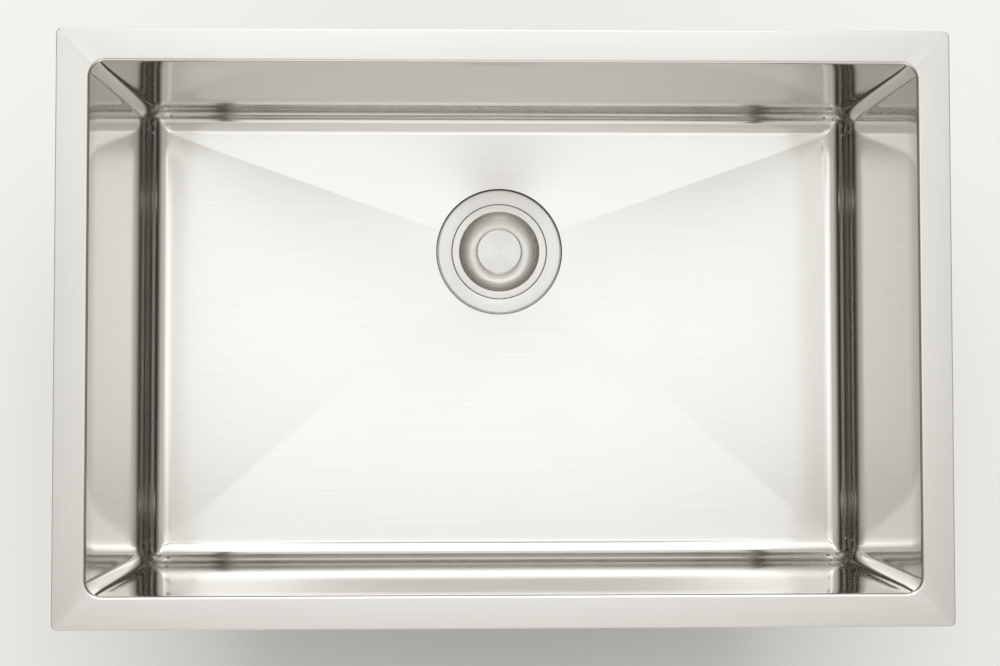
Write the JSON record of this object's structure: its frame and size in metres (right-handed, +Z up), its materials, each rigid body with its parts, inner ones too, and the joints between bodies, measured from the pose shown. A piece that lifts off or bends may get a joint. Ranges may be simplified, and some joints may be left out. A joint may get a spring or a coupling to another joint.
{
  "type": "undermount kitchen sink",
  "caption": "Rectangular single-bowl undermount sink of folded brushed steel, with a rear drain, a lift-out basket, a lid, sound pads and a tailpiece.",
  "frame": {"origin": "centre of the flange's top face, which seats under the worktop", "axes": "+X to the user's right along the sink's width, +Y to the back, where the drain is, +Z up"},
  "size_m": [0.6858, 0.4572, 0.4254],
  "materials": {
    "bowl_steel": "satin brushed stainless steel",
    "strainer_steel": "spun and brushed stainless steel",
    "tube_chrome": "polished plate",
    "pad_rubber": "matte dense rubber",
    "seal_rubber": "soft matte rubber",
    "fibre": "pressed fibre",
    "nut_plastic": "moulded plastic",
    "washer_plastic": "smooth moulded plastic"
  },
  "bodies": {
    "sink": {"bowl": "bowl_steel", "pad_right_wall": "pad_rubber", "pad_back_wall": "pad_rubber", "pad_left_wall": "pad_rubber", "pad_front_wall": "pad_rubber", "pad_floor_left": "pad_rubber", "pad_floor_front": "pad_rubber", "pad_floor_right": "pad_rubber", "strainer_body": "strainer_steel", "flange_gasket": "seal_rubber", "under_gasket": "seal_rubber", "friction_ring": "fibre", "locknut": "nut_plastic", "tailpiece_washer": "washer_plastic", "tailpiece": "tube_chrome", "coupling_nut": "nut_plastic"},
    "basket": {"basket": "strainer_steel", "basket_handle": "strainer_steel"},
    "lid": {"lid": "strainer_steel", "lid_seal": "seal_rubber", "knob": "strainer_steel", "knob_screw_washer": "seal_rubber", "knob_screw": "tube_chrome"}
  },
  "joints": [
    {"name": "basket_lift", "type": "slide", "parent": "sink", "child": "basket", "axis": [0, 0, 1], "range_m": [0, 0.3]},
    {"name": "lid_lift", "type": "slide", "parent": "basket", "child": "lid", "axis": [0, 0, 1], "range_m": [0, 0.26]}
  ]
}
